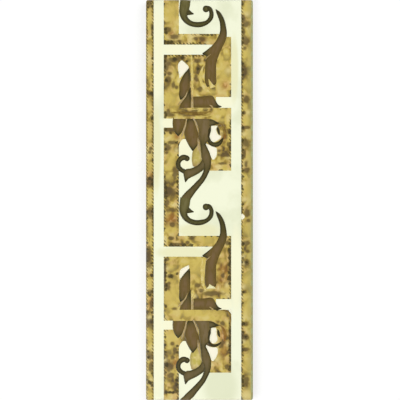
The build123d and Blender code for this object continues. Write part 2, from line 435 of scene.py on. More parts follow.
# Blotches in which the brown leaves are as dark as their slim ends, in the same way
SMOKY_BLOTCHES = (
    (16.5, 14.0, 6.0, 13.0), (16.5, 167.0, 6.0, 13.0),
)
# Small burnt spots in the gold of the whole tile: (across, down from the far end, radius)
BURNT_SPOTS = (
    # On the left band
    (-36.0, 1.8, 1.4), (-38.6, 2.2, 1.3), (-35.3, 5.0, 1.3), (-38.6, 5.6, 1.1), (-34.9, 20.5, 1.1),
    (-34.9, 28.6, 1.2), (-34.9, 43.6, 1.3), (-35.0, 61.0, 1.0), (-35.6, 70.0, 1.8), (-35.2, 88.8, 1.5),
    (-34.9, 120.2, 1.1), (-37.5, 133.8, 1.5), (-35.4, 135.0, 1.3), (-35.4, 138.0, 1.3), (-39.4, 159.0, 1.2),
    (-39.4, 164.0, 1.1), (-39.3, 182.0, 1.2), (-39.2, 187.0, 1.3), (-35.4, 191.5, 1.2), (-39.2, 195.5, 1.3),
    (-35.6, 197.4, 1.3), (-35.4, 206.6, 1.5), (-35.3, 218.6, 1.4), (-38.6, 219.8, 1.3), (-37.2, 221.4, 1.4),
    (-39.4, 228.0, 1.2), (-39.4, 233.4, 1.2), (-35.4, 234.2, 1.6), (-35.6, 241.5, 1.5), (-38.8, 263.5, 1.3),
    (-38.4, 268.0, 1.3), (-35.4, 280.0, 1.2), (-39.2, 284.8, 1.4), (-38.0, 286.1, 1.4), (-36.7, 287.4, 1.4),
    (-35.4, 288.8, 1.6),
    # Along the foot of the key in the first repeat and in the second
    (-25.6, 21.8, 1.7), (-24.9, 24.6, 1.5), (9.1, 26.2, 1.3), (6.0, 26.4, 1.4), (-25.8, 31.0, 1.4),
    (-20.9, 31.3, 1.4), (-23.4, 31.9, 1.7), (-14.6, 32.2, 1.3), (0.4, 32.2, 1.4), (-4.6, 32.5, 1.1),
    (-21.2, 183.4, 1.4), (-11.3, 183.5, 1.5), (-6.7, 183.5, 1.3),
    # On the left of each block
    (-25.5, 42.0, 1.7), (-12.8, 43.2, 1.6), (-18.7, 44.3, 1.8), (-25.9, 46.0, 1.4), (-9.6, 46.0, 1.2),
    (-25.9, 50.0, 1.3), (-0.9, 51.8, 1.6), (-25.9, 56.0, 1.4), (-25.0, 60.2, 1.6), (-25.8, 195.2, 1.4),
    (-25.9, 198.5, 1.1), (-25.4, 204.6, 1.4), (-16.7, 205.2, 1.4), (-25.6, 206.9, 1.3), (-21.2, 207.2, 2.0),
    (-25.3, 210.4, 1.1), (-24.8, 214.0, 1.5), (-25.3, 217.0, 1.5),
    # On the band's left end and down the bar
    (-25.8, 84.4, 1.4), (-25.0, 86.1, 1.4), (-25.6, 87.8, 1.3), (-25.3, 97.0, 1.7), (-21.6, 99.8, 1.4),
    (-16.9, 106.9, 1.5), (-25.6, 108.2, 1.4), (-25.4, 112.0, 1.3), (-16.6, 136.3, 1.3), (-25.5, 137.4, 1.4),
    (-16.5, 140.0, 1.3), (-25.3, 140.6, 1.6), (-25.0, 144.4, 1.7), (-16.6, 145.0, 1.5), (-25.3, 148.0, 1.7),
    (-25.4, 229.7, 1.4), (-25.7, 252.6, 1.1), (-25.7, 258.6, 1.2), (-16.5, 259.5, 1.2), (-25.7, 264.0, 1.2),
    (-16.4, 264.2, 1.3), (-24.6, 273.5, 2.0), (-25.6, 279.4, 1.2), (-17.0, 285.0, 1.5), (-16.9, 288.6, 1.5),
    (-17.2, 293.4, 1.4), (-25.0, 294.0, 1.5), (-19.6, 294.2, 1.4), (-22.3, 294.3, 1.4),
    # Down the key's right edge
    (22.5, 99.4, 1.4), (22.6, 110.5, 1.5), (22.8, 179.6, 1.3), (22.7, 182.8, 1.5), (22.4, 187.2, 1.7),
    (22.5, 193.6, 1.7), (22.6, 198.2, 1.7), (22.2, 204.4, 1.4), (22.3, 208.6, 2.0), (22.7, 212.8, 1.3),
    (22.0, 232.6, 1.4), (22.6, 236.4, 1.3), (23.0, 242.3, 1.2), (23.0, 248.2, 1.3), (22.8, 253.5, 1.4),
    (22.7, 259.4, 1.4), (22.5, 262.2, 1.3), (22.9, 266.8, 1.1), (22.5, 277.2, 1.6),
    # Down the right band's left edge
    (32.4, 3.0, 1.1), (32.3, 14.4, 1.2), (32.3, 18.9, 1.2), (32.3, 24.2, 1.2), (32.4, 28.8, 1.3),
    (32.4, 32.4, 1.2), (32.3, 47.8, 1.2), (32.4, 52.2, 1.3), (32.4, 56.4, 1.3), (32.3, 72.0, 1.1),
    (32.4, 84.6, 1.4), (32.5, 95.6, 1.3), (32.3, 105.2, 1.3), (32.3, 112.6, 1.3), (32.3, 116.8, 1.1),
    (32.4, 128.0, 1.1), (32.4, 132.4, 1.4), (32.3, 142.0, 1.2), (32.4, 153.2, 1.3), (32.4, 157.2, 1.2),
    (32.8, 183.2, 1.6), (32.4, 189.2, 1.1), (32.4, 193.4, 1.1), (35.4, 196.6, 1.3), (32.3, 204.0, 1.1),
    (32.8, 219.0, 1.2), (32.3, 227.4, 1.2), (33.0, 242.6, 1.6), (32.5, 248.8, 1.2), (34.8, 252.6, 1.3),
    (32.4, 262.4, 1.3), (32.4, 266.6, 1.2), (32.6, 282.4, 1.3), (32.4, 286.4, 1.3), (32.6, 289.6, 1.3),
)
# Blotches of the cream on the whole tile, in the same way as those of the gold
WHITE_BLOTCHES = (
    (18.4, 76.7, 7.0, 5.0), (17.6, 228.0, 8.0, 5.5), (-23.6, 92.2, 5.0, 4.5), (-23.6, 243.8, 5.0, 4.5),
    (-11.5, 112.0, 6.0, 9.0), (-11.5, 263.5, 6.0, 9.0), (-10.0, 122.5, 5.0, 5.0), (-10.0, 274.0, 5.0, 5.0),
    (27.5, 202.0, 5.0, 34.0), (-31.9, 42.0, 5.0, 40.0), (-16.0, 36.8, 13.0, 5.0), (-31.9, 262.0, 5.0, 40.0),
)
WARM_BLOTCHES = (
    (-13.0, 189.5, 20.0, 5.0), (-1.0, 173.0, 18.0, 6.0), (-32.5, 112.0, 4.0, 34.0), (26.0, 52.0, 3.5, 26.0),
)
SHADY_BLOTCHES = ((16.0, 290.0, 14.0, 18.0),)

# Kinds of blotch that the layers are marked with
BLOTCHES = {
    "burnt": BURNT_BLOTCHES,
    "rusty": RUSTY_BLOTCHES,
    "calm": CALM_BLOTCHES,
    "light": LIGHT_BLOTCHES,
    "beaded": BEADED_BLOTCHES,
    "spotted": [(across, down, radius, radius) for across, down, radius in BURNT_SPOTS],
    "smoky": SMOKY_BLOTCHES,
}


class Sheet(NamedTuple):
    """A flat sheet of glaze: its points in plan, how far each lies in from the outline, half the sheet's
    width there, how near its middle line is from 0 to 1, the share of the relief that it rises to, and the
    corner numbers of its quads."""

    plan: np.ndarray
    inset: np.ndarray
    girth: np.ndarray
    middle: np.ndarray
    rise: np.ndarray
    quads: np.ndarray


def tone(red, green, blue):
    """A colour as it shows on a screen, from three numbers up to 255."""
    return red / 255, green / 255, blue / 255


def linear(colour):
    """The same colour in the linear values that a shader takes, from the screen's own curve."""
    shown = np.asarray(colour, float)
    values = np.where(shown <= 0.04045, shown / 12.92, ((shown + 0.055) / 1.055) ** 2.4)
    return (*values.tolist(), 1.0)


def length_property(name, description, millimetres):
    """A length that the user can change, given here in millimetres."""
    return bpy.props.FloatProperty(
        name=name, description=description, default=millimetres * MM, unit="LENGTH", precision=6)


def strength_property(name, description, default, unit="NONE"):
    """A strength or a power from 0 up that the user can change."""
    return bpy.props.FloatProperty(name=name, description=description, default=default, unit=unit, min=0)


def colour_property(name, description, default):
    """A screen colour that the user can change."""
    return bpy.props.FloatVectorProperty(
        name=name, description=description, default=default, size=3, min=0, max=1, subtype="COLOR_GAMMA")


class BorderTileSizes(bpy.types.PropertyGroup):
    """Heights, widths and edges of the glaze layers."""

    edge_radius: length_property("Face edge radius", "Radius of the slab's rounded face edge", 0.9)
    corner_radius: length_property("Corner radius", "Radius of the slab's corners, seen from above", 1.5)
    left_band: length_property("Left band", "Width of the gold band on the left edge", 5.7)
    right_band: length_property("Right band", "Width of the gold band on the right edge", 7.2)
    gold_relief: length_property("Gold relief", "Height of the gold key and bands above the face", 0.10)
    petal_relief: length_property("Petal relief", "Height of the petals, tongues and lines in the gold", 0.16)
    leaf_relief: length_property("Leaf relief", "Height of the brown leaves and scrolls", 0.26)
    vein_relief: length_property("Vein relief", "Height of the light veins and forks on the leaves", 0.34)
    shoulder: length_property("Shoulder", "Width over which a layer rounds down at its outline", 0.5)
    # The olive line on the right edge is painted shade of the slab's rounded right edge
    shaded_edge_width: length_property("Edge line", "Width of the olive line on the right edge", 1.5)
    rim: length_property("Rim", "Width of the burnt rim along a layer's outline", 2.2)
    slim: length_property("Slim", "Half width at which a stroke is as dark as its rim", 1.2)
    full: length_property("Full", "Half width from which a leaf has its full colour", 4.3)
    bed: length_property("Bed", "Depth that a layer is bedded in the glaze under it", 0.06)


class BorderTileGlazes(bpy.types.PropertyGroup):
    """Colours of the glazes and of the fired clay."""

    cream: colour_property("Cream", "Main colour of the cream ground", tone(247, 250, 221))
    cream_shade: colour_property("Cream shade", "Green-grey clouds in the cream", tone(228, 232, 198))
    cream_white: colour_property("White cream", "Bright blotches in the cream", tone(252, 250, 214))
    cream_warm: colour_property("Warm cream", "Yellow clouds in the cream", tone(237, 235, 190))
    petal: colour_property("Petal", "Warm white of the petals", tone(253, 247, 224))
    gold: colour_property("Gold", "Calm areas of the gold", tone(206, 184, 92))
    gold_tan: colour_property("Tan gold", "Warmer parts of the gold's ground", tone(205, 174, 104))
    gold_olive: colour_property("Olive gold", "Gold along the right edge", tone(176, 164, 92))
    gold_light: colour_property("Light gold", "Pale streaks and blotches in the gold", tone(222, 204, 136))
    gold_ochre: colour_property("Ochre", "Middle tone of the marbled gold", tone(160, 134, 54))
    gold_umber: colour_property("Umber", "Dark streaks in the gold", tone(96, 78, 40))
    gold_shade: colour_property("Shadow", "Brown shadows on the gold", tone(114, 88, 28))
    gold_rust: colour_property("Rust", "Red-brown patches in the gold", tone(152, 98, 32))
    gold_peach: colour_property("Peach", "Pale patches beside the rust", tone(210, 166, 104))
    gold_burnt: colour_property("Burnt gold", "Specks, beads and burnt spots", tone(58, 50, 10))
    # Painted shade: the olive-grey of the right edge line stands for the slab's rounded right edge in shade
    edge: colour_property("Edge", "Olive-grey line on the right edge", tone(161, 168, 117))
    tongue: colour_property("Tongue", "Yellow gold of the tongue between the leaves", tone(192, 177, 86))
    tongue_root: colour_property("Tongue root", "Brown upper end of the tongue", tone(156, 126, 80))
    brown: colour_property("Brown", "Body of the leaves", tone(105, 85, 36))
    brown_light: colour_property("Light brown", "Light middle of the leaves", tone(117, 94, 60))
    stem: colour_property("Stem", "Body of the stem and its curls", tone(108, 91, 48))
    stem_light: colour_property("Light stem", "Light middle of the stem", tone(121, 103, 70))
    bowl: colour_property("Bowl", "Body of the bowl that the stem runs into", tone(99, 92, 45))
    bowl_light: colour_property("Light bowl", "Light middle of the bowl", tone(117, 109, 66))
    brown_olive: colour_property("Olive brown", "Slim strokes", tone(66, 65, 24))
    brown_dark: colour_property("Dark brown", "Dark rims of the leaves and strokes", tone(52, 46, 14))
    vein: colour_property("Vein", "Light veins on the leaves", tone(178, 156, 112))
    clay: colour_property("Clay", "Fired body on the sides and the back", tone(224, 204, 176))
    clay_dark: colour_property("Dark clay", "Darker grains in the fired body", tone(196, 170, 138))


class BorderTileStage(bpy.types.PropertyGroup):
    """Floor, light and camera."""

    view_length: length_property("View length", "Length of the face that fills the picture's height", 300)
    view_offset: length_property("View offset", "How far the camera stands right of the middle line", 0.4)
    lens: bpy.props.FloatProperty(name="Lens", description="Focal length in millimetres", default=135, min=1)
    floor_size: length_property("Floor size", "Side of the square floor", 4000)
    floor: colour_property("Floor", "Colour of the floor", tone(170, 171, 170))
    sky: strength_property("Sky", "Strength of the soft light straight above", 0.3)
    horizon: strength_property("Horizon", "Strength of the soft light low down all around", 0.8)
    key_power: strength_property("Key light", "Power of the large soft lamp on the near left", 4.3, "POWER")
    fill_power: strength_property("Fill light", "Power of the soft lamp on the far right", 3.3, "POWER")
    floor_glow: strength_property("Floor glow", "How much brighter the floor is to the camera", 0.62)


def closer_at_ends(count):
    """Numbers from 0 to 1, spaced as a half circle's shadow, so that they crowd towards both ends."""
    return 0.5 - 0.5 * np.cos(np.linspace(0, np.pi, count))


def through(points, guide, count):
    """A smooth curve through the points, sampled count times and more closely towards both ends.
    Between two points it is the cubic that leaves each of them along the slope through its neighbours,
    and its parameter is the length along the guide, which has one (across, down) place for each point."""
    points = np.asarray(points, float)
    steps = np.linalg.norm(np.diff(np.asarray(guide, float), axis=0), axis=1)
    knots = np.concatenate(([0.0], np.cumsum(steps)))
    slopes = np.gradient(points, knots, axis=0)
    places = knots[-1] * closer_at_ends(count)
    span = np.clip(np.searchsorted(knots, places, side="right") - 1, 0, len(steps) - 1)
    width = steps[span][:, None]
    t = (places - knots[span])[:, None] / width
    return ((2 * t**3 - 3 * t**2 + 1) * points[span] + (t**3 - 2 * t**2 + t) * width * slopes[span]
            + (3 * t**2 - 2 * t**3) * points[span + 1] + (t**3 - t**2) * width * slopes[span + 1])


def leaf_edges(leaf):
    """Left and right edge of a leaf, each a smooth curve through its points, in step with each other."""
    left, right = (np.asarray(edge, float) for edge in leaf)
    both = through(np.hstack((left, right)), (left + right) / 2, LEAF_ROWS)
    return both[:, :2], both[:, 2:]


def stroke_edges(stations):
    """Left and right edge of a stroke: its smooth middle line, moved sideways by its half width."""
    stations = np.asarray(stations, float)
    curve = through(stations, stations[:, :2], LEAF_ROWS)
    heading = np.gradient(curve[:, :2], axis=0)
    heading /= np.linalg.norm(heading, axis=1, keepdims=True)
    sideways = np.column_stack((-heading[:, 1], heading[:, 0]))
    reach = np.maximum(curve[:, 2:], TIP_WIDTH / 2) * sideways
    return curve[:, :2] + reach, curve[:, :2] - reach


def ball_edges(ball):
    """Left and right half of a circle, each from its top to its bottom."""
    across, down, radius = ball
    angle = np.pi * closer_at_ends(BALL_ROWS)
    reach = np.maximum(radius * np.sin(angle), TIP_WIDTH / 2)
    level = down - radius * np.cos(angle)
    return np.column_stack((across - reach, level)), np.column_stack((across + reach, level))


def grid_quads(rows, columns):
    """Corner numbers of the quads of a grid whose points are numbered row by row."""
    corner = np.arange(rows * columns).reshape(rows, columns)
    corners = (corner[:-1, :-1], corner[:-1, 1:], corner[1:, 1:], corner[1:, :-1])
    return np.stack(corners, axis=-1).reshape(-1, 4)


def sheet_between(edges, open_start=False, open_end=False):
    """A flat sheet between two edges: P(u, v) = (1 - v) left(u) + v right(u). Its inset is each point's
    distance to the nearer edge, or to the nearer end where that end isn't open."""
    left, right = (edge[:, None, :] for edge in edges)
    share = closer_at_ends(LEAF_COLUMNS)[None, :]
    plan = (1 - share)[..., None] * left + share[..., None] * right
    width = np.linalg.norm(right - left, axis=-1)
    to_edge = np.minimum(share, 1 - share)
    middle = (left + right)[:, 0] / 2
    run = np.concatenate(([0.0], np.cumsum(np.linalg.norm(np.diff(middle, axis=0), axis=1))))
    from_start = np.full_like(run, np.inf) if open_start else run
    from_end = np.full_like(run, np.inf) if open_end else run[-1] - run
    inset = np.minimum(width * to_edge, np.minimum(from_start, from_end)[:, None])
    girth = np.broadcast_to(width / 2, inset.shape).ravel()
    nearness = np.broadcast_to(2 * to_edge, inset.shape).ravel()
    quads = grid_quads(len(middle), LEAF_COLUMNS)
    return Sheet(plan.reshape(-1, 2), inset.ravel(), girth, nearness, np.ones(inset.size), quads)


def leaf_sheet(name, leaf):
    """The sheet of a leaf, with no rim where it sprouts, or where the stem runs on into the next repeat."""
    return sheet_between(leaf_edges(leaf), open_start=name in SPROUTING, open_end=name == "stem")


def joined(sheets):
    """Several sheets as one, each a step lower than the one before, so that no two tops lie in one plane."""
    starts = np.cumsum([0] + [len(sheet.plan) for sheet in sheets[:-1]])
    numbered = [sheet._replace(rise=sheet.rise * (1 - OVERLAP_STEP * order), quads=sheet.quads + start)
                for order, (sheet, start) in enumerate(zip(sheets, starts))]
    return Sheet(*(np.concatenate(parts) for parts in zip(*numbered)))


def leaves_sheet(leaves):
    """One sheet of all the leaves, which have a name each."""
    return joined([leaf_sheet(name, leaf) for name, leaf in leaves.items()])


def strokes_sheet(strokes):
    """One sheet of all the strokes."""
    return joined([sheet_between(stroke_edges(stroke)) for stroke in strokes])


def face_edge_steps(sizes):
    """Distances in from the outline at even turns of the rounded face edge, from upright to level."""
    turn = np.linspace(np.pi / 2, 0, EDGE_TURNS)
    return sizes.edge_radius / MM * (1 - np.sin(turn))


def steady_lines(lines):
    """Evenly spaced grid lines that fill the span of the given ones."""
    count = int((lines.max() - lines.min()) / MARBLE_STEP)
    return np.linspace(lines.min(), lines.max(), count)


def cell_corners(across_lines, along_lines):
    """Low and high corner of each cell of a grid, row by row."""
    corners = np.stack(np.meshgrid(across_lines, along_lines), axis=-1)
    return corners[:-1, :-1].reshape(-1, 2), corners[1:, 1:].reshape(-1, 2)


def cells_within(low, high, rectangles):
    """Whether each cell's middle lies in one of the rectangles (left, right, near, far)."""
    middle = (low + high)[:, None] / 2
    inside = (middle > rectangles[:, 0::2]) & (middle < rectangles[:, 1::2])
    return inside.all(axis=2).any(axis=1)


def distance_to_boxes(plan, low, high):
    """Distance from each point to the nearest of the boxes between the low and the high corners."""
    beyond_x = np.maximum(low[:, 0] - plan[:, :1], plan[:, :1] - high[:, 0])
    beyond_y = np.maximum(low[:, 1] - plan[:, 1:], plan[:, 1:] - high[:, 1])
    return np.hypot(np.maximum(beyond_x, 0), np.maximum(beyond_y, 0)).min(axis=1)


def even_sheet(plan, inset, quads):
    """A sheet that has no middle line and is nowhere slim."""
    return Sheet(plan, inset, np.full_like(inset, WIDE), np.zeros_like(inset), np.ones_like(inset), quads)


def key_sheet(rectangles, sizes):
    """The union of the rectangles (left, right, near, far) as one grid. It has lines at every side of every
    rectangle, at a shoulder's and a rim's width beside them, round the slab's two ends, and at even steps
    between. Cells in no rectangle are left out, and the inset is the distance to the bare ground."""
    rectangles = np.asarray(rectangles, float)
    sides, levels = np.unique(rectangles[:, :2]), np.unique(rectangles[:, 2:])
    padded = np.concatenate(([sides[0] - WIDE], sides, [sides[-1] + WIDE]))
    bare_low, bare_high = cell_corners(padded, levels)
    bare = ~cells_within(bare_low, bare_high, rectangles)
    beside = np.append(np.array(KEY_SHOULDER_SHARES) * sizes.shoulder, sizes.rim) / MM
    beside = np.concatenate((-beside[::-1], beside))
    ends = HALF_LENGTH - face_edge_steps(sizes)
    across_lines = np.concatenate(((sides[:, None] + beside).ravel(), steady_lines(sides)))
    along_lines = np.concatenate(((levels[:, None] + beside).ravel(), steady_lines(levels), ends, -ends))
    across_lines = np.unique(np.round(across_lines, GRID_DIGITS))
    along_lines = np.unique(np.round(np.clip(along_lines, -HALF_LENGTH, HALF_LENGTH), GRID_DIGITS))
    kept = cells_within(*cell_corners(across_lines, along_lines), rectangles)
    quads = grid_quads(len(along_lines), len(across_lines))[kept]
    used, numbers = np.unique(quads, return_inverse=True)
    plan = np.stack(np.meshgrid(across_lines, along_lines), axis=-1).reshape(-1, 2)[used]
    inset = distance_to_boxes(plan, bare_low[bare], bare_high[bare])
    return even_sheet(plan, inset, numbers.reshape(-1, 4))


def band_sheet(inner, outer, wraps, sizes):
    """A band along one long edge, P(u, v) = (inner + v (limit(u) - inner), along(u)), where the limit is the
    outer line, drawn in round the slab's corners if the band wraps over the rounded edge. Its inset counts
    from the inner line only, because nothing ends at the outer one."""
    steps = face_edge_steps(sizes)
    corner = sizes.corner_radius / MM
    even = steady_lines(np.array([BAND_END - HALF_LENGTH, HALF_LENGTH - BAND_END]))
    along = np.concatenate((steps - HALF_LENGTH, even, (HALF_LENGTH - steps)[::-1]))
    width = abs(outer - inner)
    shoulder = sizes.shoulder / MM * np.array(BAND_SHOULDER_SHARES)
    last = width - (steps if wraps else shoulder)[::-1]
    between_both = np.arange(2 * MARBLE_STEP, last[0] - MARBLE_STEP / 2, MARBLE_STEP)
    offsets = np.concatenate((shoulder, between_both, last))
    bend = np.maximum(np.abs(along) - (HALF_LENGTH - corner), 0)
    drawn_in = corner - np.sqrt(corner**2 - bend**2) if wraps else np.zeros_like(along)
    reach = offsets[None, :] * (1 - drawn_in / width)[:, None]
    across = inner + np.sign(outer - inner) * reach
    plan = np.stack((across, np.broadcast_to(along[:, None], across.shape)), axis=-1).reshape(-1, 2)
    inset = np.broadcast_to(offsets, across.shape).ravel()
    return even_sheet(plan, inset, grid_quads(*across.shape))


def blotch_share(plan, blotches):
    """How deep each place lies in a blotch: exp(-d^2), where d is the distance from the blotch's middle as a
    share of its reach. Where blotches overlap, the deepest counts."""
    across, down, reach_across, reach_down = np.asarray(blotches, float).T
    beside = (plan[:, :1] - across) / reach_across
    beyond = (HALF_LENGTH - plan[:, 1:] - down) / reach_down
    return np.exp(-beside**2 - beyond**2).max(axis=1)


def on_face(plan, lift, sizes):
    """Places on the glazed face, raised by the lift along its normal. The face is level inside, and within
    an edge radius of the outline it turns down as a quarter circle, with corners rounded in plan."""
    corner = sizes.corner_radius / MM
    radius = sizes.edge_radius / MM
    level = np.array([HALF_WIDTH, HALF_LENGTH]) - corner
    outward = np.maximum(np.abs(plan) - level, 0) * np.sign(plan)
    overhang = np.linalg.norm(outward, axis=1)
    lean = np.clip(1 - (corner - overhang) / radius, 0, 1)
    upright = np.sqrt(1 - lean**2)
    sideways = outward / np.maximum(overhang, NEXT_TO_NOTHING)[:, None] * (lean * lift)[:, None]
    height = FACE_HEIGHT - radius * (1 - upright) + lift * upright
    return np.column_stack((plan + sideways, height))


def closed_mesh(name, sheet, relief, sizes):
    """A closed layer of glaze: the sheet raised by relief times sqrt(1 - s^2), where s falls from 1 at the
    outline to 0 a shoulder's width in, the same sheet turned over just under the face, and a wall along each
    edge that only one quad has."""
    plan, quads = sheet.plan, sheet.quads
    shoulder = 1 - np.minimum(sheet.inset * MM / sizes.shoulder, 1)
    lift = relief / MM * sheet.rise * np.sqrt(1 - shoulder**2)
    bed = np.full_like(lift, -sizes.bed / MM)
    points = np.vstack((on_face(plan, lift, sizes), on_face(plan, bed, sizes))) * MM
    first, second, third = (plan[quads[:, corner]] for corner in range(3))
    turning = np.cross(second - first, third - second)
    if turning.sum() < 0:
        quads = quads[:, ::-1]
    edges = np.stack((quads, np.roll(quads, -1, axis=1)), axis=-1).reshape(-1, 2)
    _, where, uses = np.unique(np.sort(edges, axis=1), axis=0, return_index=True, return_counts=True)
    start, end = edges[where[uses == 1]].T
    count = len(plan)
    walls = np.column_stack((start + count, end + count, end, start))
    faces = np.vstack((quads, quads[:, ::-1] + count, walls))
    mesh = bpy.data.meshes.new(name)
    mesh.from_pydata(points.tolist(), [], faces.tolist())
    mesh.shade_smooth()
    mesh.set_sharp_from_angle(angle=SHARP_ANGLE)
    return mesh


def add_marks(mesh, sheet, sizes):
    """What the materials read at each place: how near the outline is, how slim the sheet is, how near its
    middle line is, and how deep the place lies in each kind of blotch."""
    marks = {
        "rim": np.clip(1 - sheet.inset * MM / sizes.rim, 0, 1),
        "slim": np.clip((sizes.full - sheet.girth * MM) / (sizes.full - sizes.slim), 0, 1),
        "middle": sheet.middle,
        **{name: blotch_share(sheet.plan, blotches) for name, blotches in BLOTCHES.items()},
    }
    for name, values in marks.items():
        attribute = mesh.attributes.new(name, "FLOAT", "POINT")
        attribute.data.foreach_set("value", np.tile(values, 2).astype(np.float32))


def glaze_layer(name, sheet, relief, sizes, material):
    """One piece of the ornament: a closed layer of glaze with the marks that its material reads."""
    mesh = closed_mesh(name, sheet, relief, sizes)
    add_marks(mesh, sheet, sizes)
    mesh.materials.append(material)
    piece = bpy.data.objects.new(name, mesh)
    bpy.context.scene.collection.objects.link(piece)
    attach(piece, BODY)


def placed(sheet, down_by):
    """A sheet drawn as (across, down) on one repeat, moved down the tile and given as (across, along)."""
    down = sheet.plan[:, 1] + down_by
    length = 2 * HALF_LENGTH
    squeezed = length - END_SQUEEZE
    down = np.interp(down, (0, squeezed, max(length, down.max())), (0, squeezed, length))
    return sheet._replace(plan=np.column_stack((sheet.plan[:, 0], HALF_LENGTH - down)))


def repeat_layers(context, name, sheets, relief, material, step=REPEAT_STEP):
    """A layer on each repeat, from the tile's far end on, with one sheet for all or one for each."""
    sizes = context.scene.border_tile_sizes
    if isinstance(sheets, Sheet):
        sheets = [sheets] * REPEATS
    for repeat, sheet in enumerate(sheets):
        glaze_layer(f"{name}_{repeat + 1}", placed(sheet, repeat * step), relief, sizes, material)


def feed(tree, node, inputs):
    """Set each named input of a node to a value, or link it from a socket."""
    for name, value in inputs.items():
        if isinstance(value, bpy.types.NodeSocket):
            tree.links.new(value, node.inputs[name])
        else:
            node.inputs[name].default_value = value


def add_node(tree, kind, inputs=None, **settings):
    """A new node with its settings and its inputs."""
    node = tree.nodes.new(kind)
    for name, value in settings.items():
        setattr(node, name, value)
    feed(tree, node, inputs or {})
    return node


class Glaze:
    """A node material in the making, with its shader and its object coordinates in millimetres. A value is
    a number or a socket, and a colour is three screen values or a socket."""

    def __init__(self, name):
        self.material = bpy.data.materials.new(name)
        self.material.use_nodes = True
        self.tree = self.material.node_tree
        self.shader = self.tree.nodes["Principled BSDF"]
        place = self.node("ShaderNodeTexCoord").outputs["Object"]
        self.place = self.vector("SCALE", {0: place, 3: 1 / MM})["Vector"]

    def node(self, kind, inputs=None, **settings):
        """A new node of this material."""
        return add_node(self.tree, kind, inputs, **settings)

    def vector(self, operation, inputs):
        """The outputs of a vector sum, product or length."""
        return self.node("ShaderNodeVectorMath", inputs, operation=operation).outputs

    def axis(self, name):
        """The object coordinate X, Y or Z."""
        return self.node("ShaderNodeSeparateXYZ", {0: self.place}).outputs[name]

    def mark(self, name):
        """A layer's own mark at each place, from 0 to 1, such as its rim or a blotch."""
        return self.node("ShaderNodeAttribute", attribute_name=name).outputs["Fac"]

    def noise(self, size, detail=3.0, roughness=0.5, distortion=0.0, offset=(0, 0, 0), stretch=(1, 1, 1),
              turn=0):
        """Cloudy noise whose clouds are about size millimetres across, moved, stretched and turned."""
        moved = self.node("ShaderNodeMapping", {
            "Vector": self.place, "Location": offset, "Scale": stretch,
            "Rotation": (0, 0, math.radians(turn))})
        texture = self.node("ShaderNodeTexNoise", {
            "Vector": moved.outputs["Vector"], "Scale": 1 / size, "Detail": detail, "Roughness": roughness,
            "Distortion": distortion})
        return texture.outputs["Fac"]

    def combine(self, operation, first, second):
        """Arithmetic of two values."""
        return self.node("ShaderNodeMath", {0: first, 1: second}, operation=operation).outputs["Value"]

    def plus(self, first, second):
        """The sum of two values."""
        return self.combine("ADD", first, second)

    def minus(self, first, second):
        """The first value less the second."""
        return self.combine("SUBTRACT", first, second)

    def times(self, first, second):
        """The product of two values."""
        return self.combine("MULTIPLY", first, second)

    def most(self, first, second):
        """The larger of two values."""
        return self.combine("MAXIMUM", first, second)

    def ramp(self, value, low, high, start, end, interpolation="LINEAR"):
        """A value brought to start at low and to end at high, and held there beyond them."""
        return self.node("ShaderNodeMapRange", {0: value, 1: low, 2: high, 3: start, 4: end},
                         interpolation_type=interpolation).outputs["Result"]

    def between(self, value, low, high, top=1.0):
        """A value eased from 0 at low to top at high, and held there beyond them."""
        return self.ramp(value, low, high, 0.0, top, "SMOOTHSTEP")

    def blend(self, share, under, over):
        """One colour laid over another by a share from 0 to 1."""
        under, over = (colour if isinstance(colour, bpy.types.NodeSocket) else linear(colour)
                       for colour in (under, over))
        return self.node("ShaderNodeMix", {0: share, 6: under, 7: over}, data_type="RGBA").outputs[2]

    def finish(self, colour, roughness, height=None, depth=0.0):
        """Give the shader its colour, its roughness and, from a height between 0 and 1, a surface relief of
        that depth in millimetres, and hand over the material."""
        inputs = {"Base Color": colour, "Roughness": roughness}
        if height is not None:
            bump = self.node("ShaderNodeBump", {"Height": height, "Strength": 1.0, "Distance": depth * MM})
            inputs["Normal"] = bump.outputs["Normal"]
        feed(self.tree, self.shader, inputs)
        return self.material


def in_blotches(glaze, blotches):
    """How deep each place lies in a blotch: 1 over most of it, and 0 from a little beyond its reach."""
    deepest = 0.0
    for across, down, reach_across, reach_down in blotches:
        middle = (across, HALF_LENGTH - down, 0.0)
        reach = (reach_across, reach_down, WIDE)
        offset = glaze.vector("SUBTRACT", {0: glaze.place, 1: middle})["Vector"]
        share = glaze.vector("DIVIDE", {0: offset, 1: reach})["Vector"]
        distance = glaze.vector("LENGTH", {0: share})["Value"]
        deepest = glaze.most(deepest, glaze.between(distance, 1.2, 0.6))
    return deepest


def beads(glaze):
    """Beads strung along an outline and along the tile's left edge: slanting stripes that show only there."""
    stripes = glaze.node("ShaderNodeTexWave", {
        "Vector": glaze.place, "Scale": 2 * math.pi / (WAVE_RATE * BEAD_STEP), "Distortion": 0.5,
        "Detail": 0.0, "Detail Scale": 0.3}, wave_type="BANDS", bands_direction="DIAGONAL")
    left_edge = glaze.between(glaze.axis("X"), 1.5 - HALF_WIDTH, 1.0 - HALF_WIDTH)
    beside = glaze.most(glaze.between(glaze.mark("rim"), 0.15, 0.5), left_edge)
    return glaze.times(glaze.between(stripes.outputs["Fac"], 0.4, 0.75), beside)


